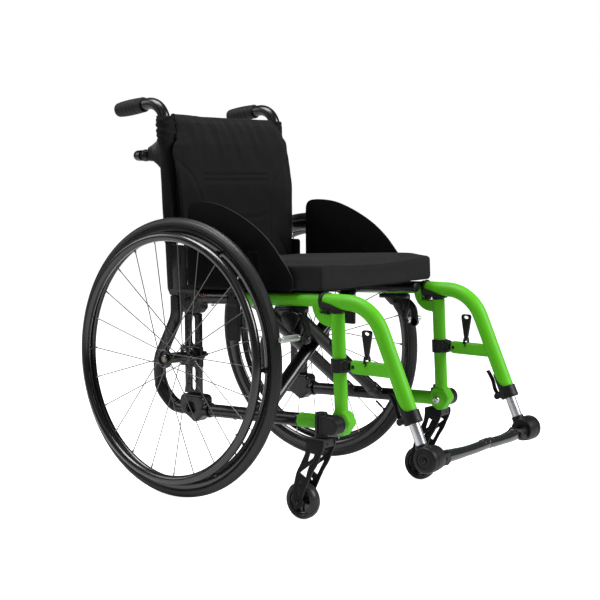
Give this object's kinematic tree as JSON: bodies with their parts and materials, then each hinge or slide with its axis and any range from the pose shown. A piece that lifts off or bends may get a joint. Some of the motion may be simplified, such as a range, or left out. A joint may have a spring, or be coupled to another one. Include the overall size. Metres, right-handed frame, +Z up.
{
  "type": "wheelchair",
  "caption": "Folding active wheelchair with cambered spoked wheels, cross brace, swing-away hangers, side guards, cushion and padded back.",
  "frame": {"origin": "on the floor, midway along the length and between the two side frames", "axes": "+Z up, the chair faces -Y, +X is the user's left"},
  "size_m": [0.5628, 0.931, 0.8526],
  "materials": {
    "green_paint": "gloss",
    "black_metal": "satin",
    "wheel_metal": "satin",
    "bright_steel": "brushed",
    "silver_tube": "satin",
    "tyre": "matte",
    "castor_tread": "matte",
    "plastic": "fine grain",
    "foot_bar": "satin",
    "grip_rubber": "matte",
    "shoe_metal": "satin",
    "fabric": "woven",
    "cushion_cover": "woven"
  },
  "bodies": {
    "right_side": {"side_frame_right": "green_paint", "rear_frame_right": "black_metal", "axle_bar_right": "black_metal", "axle_receiver_right": "black_metal", "castor_housing_right": "plastic", "hanger_latch_right": "plastic", "back_cane_right": "black_metal", "push_grip_right": "grip_rubber", "brake_plate_right": "black_metal", "guard_receiver_right": "plastic", "back_upholstery": "fabric"},
    "left_side": {"side_frame_left": "green_paint", "rear_frame_left": "black_metal", "axle_bar_left": "black_metal", "axle_receiver_left": "black_metal", "castor_housing_left": "plastic", "hanger_latch_left": "plastic", "back_cane_left": "black_metal", "push_grip_left": "grip_rubber", "brake_plate_left": "black_metal", "guard_receiver_left": "plastic"},
    "brace_single": {"brace_single_arm": "black_metal"},
    "brace_twin": {"brace_twin_arm": "black_metal"},
    "seat": {"seat_sling": "fabric", "seat_cushion": "cushion_cover"},
    "stabiliser": {"stabiliser_bar": "black_metal"},
    "hanger_right": {"hanger_right": "green_paint", "hanger_saddle_right": "plastic", "foot_clamp_right": "plastic"},
    "release_right": {"release_lever_right": "plastic"},
    "clamp_lever_right": {"clamp_lever_right": "plastic"},
    "foot_right": {"foot_tube_right": "silver_tube", "foot_joint_right": "plastic"},
    "foot_bar_right": {"foot_bar_right": "foot_bar"},
    "brake_lever_right": {"brake_lever_right": "black_metal"},
    "brake_shoe_right": {"brake_shoe_right": "shoe_metal"},
    "guard_right": {"side_guard_right": "plastic"},
    "axle_right": {"quick_release_axle_right": "bright_steel"},
    "wheel_right": {"rear_tyre_right": "tyre", "spoked_wheel_right": "wheel_metal", "handrim_right": "black_metal"},
    "castor_fork_right": {"castor_fork_right": "black_metal"},
    "castor_wheel_right": {"castor_wheel_right": "castor_tread"},
    "hanger_left": {"hanger_left": "green_paint", "hanger_saddle_left": "plastic", "foot_clamp_left": "plastic"},
    "release_left": {"release_lever_left": "plastic"},
    "clamp_lever_left": {"clamp_lever_left": "plastic"},
    "foot_left": {"foot_tube_left": "silver_tube", "foot_joint_left": "plastic"},
    "foot_bar_left": {"foot_bar_left": "foot_bar"},
    "brake_lever_left": {"brake_lever_left": "black_metal"},
    "brake_shoe_left": {"brake_shoe_left": "shoe_metal"},
    "guard_left": {"side_guard_left": "plastic"},
    "axle_left": {"quick_release_axle_left": "bright_steel"},
    "wheel_left": {"rear_tyre_left": "tyre", "spoked_wheel_left": "wheel_metal", "handrim_left": "black_metal"},
    "castor_fork_left": {"castor_fork_left": "black_metal"},
    "castor_wheel_left": {"castor_wheel_left": "castor_tread"}
  },
  "joints": [
    {"name": "fold", "type": "hinge", "parent": "right_side", "child": "brace_single", "pos_m": [-0.177, -0.0205, 0.18655], "axis": [0, -0.999, 0.045], "range_deg": [0, 38], "deforming": ["back_upholstery"]},
    {"name": "brace_cross", "type": "hinge", "parent": "brace_single", "child": "brace_twin", "pos_m": [0, -0.01439, 0.31816], "axis": [0, -0.999, 0.045], "range_deg": [-76, 0]},
    {"name": "left_side_swing", "type": "hinge", "parent": "brace_twin", "child": "left_side", "pos_m": [0.177, -0.0205, 0.18655], "axis": [0, -0.999, 0.045], "range_deg": [0, 38]},
    {"name": "seat_rise", "type": "slide", "parent": "right_side", "child": "seat", "axis": [0, 0.045, 0.999], "range_m": [0, 0.15], "deforming": ["seat_sling", "seat_cushion"]},
    {"name": "stabiliser_swing", "type": "hinge", "parent": "right_side", "child": "stabiliser", "pos_m": [-0.181, 0.3075, 0.7235], "axis": [0, 0, 1], "range_deg": [0, 90]},
    {"name": "hanger_swing_right", "type": "hinge", "parent": "right_side", "child": "hanger_right", "pos_m": [-0.177, -0.2215, 0.4125], "axis": [0, -0.0499, -0.9988], "range_deg": [0, 90]},
    {"name": "release_pull_right", "type": "hinge", "parent": "hanger_right", "child": "release_right", "pos_m": [-0.177, -0.2925, 0.318], "axis": [-1, 0, 0], "range_deg": [0, 20], "stiffness_Nm_per_rad": 0.6},
    {"name": "foot_slide_right", "type": "slide", "parent": "hanger_right", "child": "foot_right", "axis": [0, -0.4104, -0.9119], "range_m": [-0.03, 0.05]},
    {"name": "clamp_open_right", "type": "hinge", "parent": "hanger_right", "child": "clamp_lever_right", "pos_m": [-0.177, -0.37413, 0.21778], "axis": [-1, 0, 0], "range_deg": [0, 100]},
    {"name": "foot_bar_flip_right", "type": "hinge", "parent": "foot_right", "child": "foot_bar_right", "pos_m": [-0.142, -0.4385, 0.152], "axis": [0, -1, 0], "range_deg": [0, 90]},
    {"name": "brake_right", "type": "hinge", "parent": "right_side", "child": "brake_lever_right", "pos_m": [-0.1873, -0.1305, 0.4], "axis": [-1, 0, 0], "range_deg": [0, 60]},
    {"name": "brake_shoe_right", "type": "hinge", "parent": "right_side", "child": "brake_shoe_right", "pos_m": [-0.1873, -0.1025, 0.398], "axis": [1, 0, 0], "range_deg": [0, 3.4]},
    {"name": "guard_lift_right", "type": "slide", "parent": "right_side", "child": "guard_right", "axis": [0, 0, 1], "range_m": [0, 0.11]},
    {"name": "axle_pull_right", "type": "slide", "parent": "right_side", "child": "axle_right", "axis": [-0.9992, 0, 0.0391], "range_m": [0, 0.1]},
    {"name": "wheel_spin_right", "type": "hinge", "parent": "axle_right", "child": "wheel_right", "pos_m": [-0.2354, 0.1695, 0.29578], "axis": [-0.9992, 0, 0.0391], "continuous": true},
    {"name": "castor_swivel_right", "type": "hinge", "parent": "right_side", "child": "castor_fork_right", "pos_m": [-0.206, -0.2045, 0.17], "axis": [0, 0, 1], "continuous": true},
    {"name": "castor_spin_right", "type": "hinge", "parent": "castor_fork_right", "child": "castor_wheel_right", "pos_m": [-0.206, -0.1575, 0.0375], "axis": [1, 0, 0], "continuous": true},
    {"name": "hanger_swing_left", "type": "hinge", "parent": "left_side", "child": "hanger_left", "pos_m": [0.177, -0.2215, 0.4125], "axis": [0, 0.0499, 0.9988], "range_deg": [0, 90]},
    {"name": "release_pull_left", "type": "hinge", "parent": "hanger_left", "child": "release_left", "pos_m": [0.177, -0.2925, 0.318], "axis": [-1, 0, 0], "range_deg": [0, 20], "stiffness_Nm_per_rad": 0.6},
    {"name": "foot_slide_left", "type": "slide", "parent": "hanger_left", "child": "foot_left", "axis": [0, -0.4104, -0.9119], "range_m": [-0.03, 0.05]},
    {"name": "clamp_open_left", "type": "hinge", "parent": "hanger_left", "child": "clamp_lever_left", "pos_m": [0.177, -0.37413, 0.21778], "axis": [-1, 0, 0], "range_deg": [0, 100]},
    {"name": "foot_bar_flip_left", "type": "hinge", "parent": "foot_left", "child": "foot_bar_left", "pos_m": [0.142, -0.4385, 0.152], "axis": [0, 1, 0], "range_deg": [0, 90]},
    {"name": "brake_left", "type": "hinge", "parent": "left_side", "child": "brake_lever_left", "pos_m": [0.1873, -0.1305, 0.4], "axis": [-1, 0, 0], "range_deg": [0, 60]},
    {"name": "brake_shoe_left", "type": "hinge", "parent": "left_side", "child": "brake_shoe_left", "pos_m": [0.1873, -0.1025, 0.398], "axis": [1, 0, 0], "range_deg": [0, 3.4]},
    {"name": "guard_lift_left", "type": "slide", "parent": "left_side", "child": "guard_left", "axis": [0, 0, 1], "range_m": [0, 0.11]},
    {"name": "axle_pull_left", "type": "slide", "parent": "left_side", "child": "axle_left", "axis": [0.9992, 0, 0.0391], "range_m": [0, 0.1]},
    {"name": "wheel_spin_left", "type": "hinge", "parent": "axle_left", "child": "wheel_left", "pos_m": [0.2354, 0.1695, 0.29578], "axis": [0.9992, 0, 0.0391], "continuous": true},
    {"name": "castor_swivel_left", "type": "hinge", "parent": "left_side", "child": "castor_fork_left", "pos_m": [0.206, -0.2045, 0.17], "axis": [0, 0, 1], "continuous": true},
    {"name": "castor_spin_left", "type": "hinge", "parent": "castor_fork_left", "child": "castor_wheel_left", "pos_m": [0.206, -0.1575, 0.0375], "axis": [1, 0, 0], "continuous": true}
  ],
  "couplings": [
    {"joint": "brace_cross", "follows": "fold", "ratio": -2},
    {"joint": "left_side_swing", "follows": "fold", "ratio": 1},
    {"joint": "seat_rise", "follows": "fold", "m_per_rad": 0.22575},
    {"joint": "stabiliser_swing", "follows": "fold", "ratio": 2.3684},
    {"joint": "hanger_swing_right", "follows": "fold", "ratio": 2.3684},
    {"joint": "brake_shoe_right", "follows": "brake_right", "ratio": 0.056},
    {"joint": "hanger_swing_left", "follows": "fold", "ratio": 2.3684},
    {"joint": "brake_shoe_left", "follows": "brake_left", "ratio": 0.056}
  ]
}
